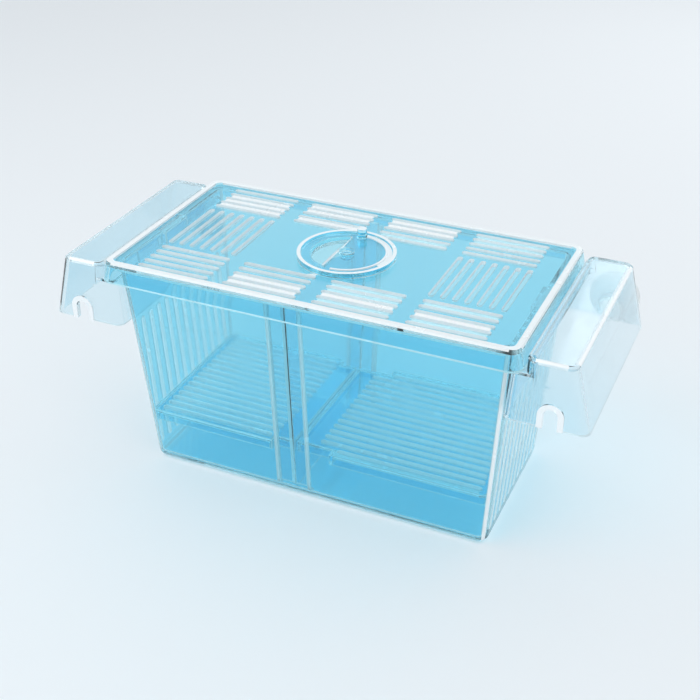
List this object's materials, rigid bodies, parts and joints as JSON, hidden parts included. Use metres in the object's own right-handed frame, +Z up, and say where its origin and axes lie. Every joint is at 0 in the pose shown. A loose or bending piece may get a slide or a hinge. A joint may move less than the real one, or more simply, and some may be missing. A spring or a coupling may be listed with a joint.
{
  "type": "fish breeding box",
  "caption": "Clear floating breeding box: tapered tank with slotted ends, slotted lid with a round feeding hatch, divider, two slotted grid floors and end floats.",
  "frame": {"origin": "centre of the tank's flat underside", "axes": "+X along the tank to the right float, +Y to the back where the suction cups are, +Z up"},
  "size_m": [0.2702, 0.1207, 0.1226],
  "materials": {
    "clear_plastic": "clear injection-moulded polystyrene with a pale blue tint, polished",
    "soft_pvc": "soft clear PVC, smooth"
  },
  "bodies": {
    "tank": {"tank": "clear_plastic", "left_float": "clear_plastic", "right_float": "clear_plastic", "left_suction_cup": "soft_pvc", "right_suction_cup": "soft_pvc"},
    "lid": {"lid": "clear_plastic"},
    "hatch": {"feeding_hatch": "clear_plastic"},
    "divider": {"centre_divider": "clear_plastic"},
    "left_floor": {"left_floor_grid": "clear_plastic"},
    "right_floor": {"right_floor_grid": "clear_plastic"}
  },
  "joints": [
    {"name": "lid_lift", "type": "slide", "parent": "tank", "child": "lid", "axis": [0, 0, 1], "range_m": [0, 0.26]},
    {"name": "hatch_turn", "type": "hinge", "parent": "lid", "child": "hatch", "pos_m": [0, 0, 0.1162], "axis": [0, 0, 1], "range_deg": [0, 180]},
    {"name": "divider_lift", "type": "slide", "parent": "tank", "child": "divider", "axis": [0, 0, 1], "range_m": [0, 0.13]},
    {"name": "left_floor_lift", "type": "slide", "parent": "tank", "child": "left_floor", "axis": [0, 0, 1], "range_m": [0, 0.0936]},
    {"name": "right_floor_lift", "type": "slide", "parent": "tank", "child": "right_floor", "axis": [0, 0, 1], "range_m": [0, 0.0936]}
  ],
  "couplings": [
    {"joint": "divider_lift", "follows": "lid_lift", "ratio": 0.5},
    {"joint": "left_floor_lift", "follows": "lid_lift", "ratio": 0.36},
    {"joint": "right_floor_lift", "follows": "lid_lift", "ratio": 0.36}
  ]
}
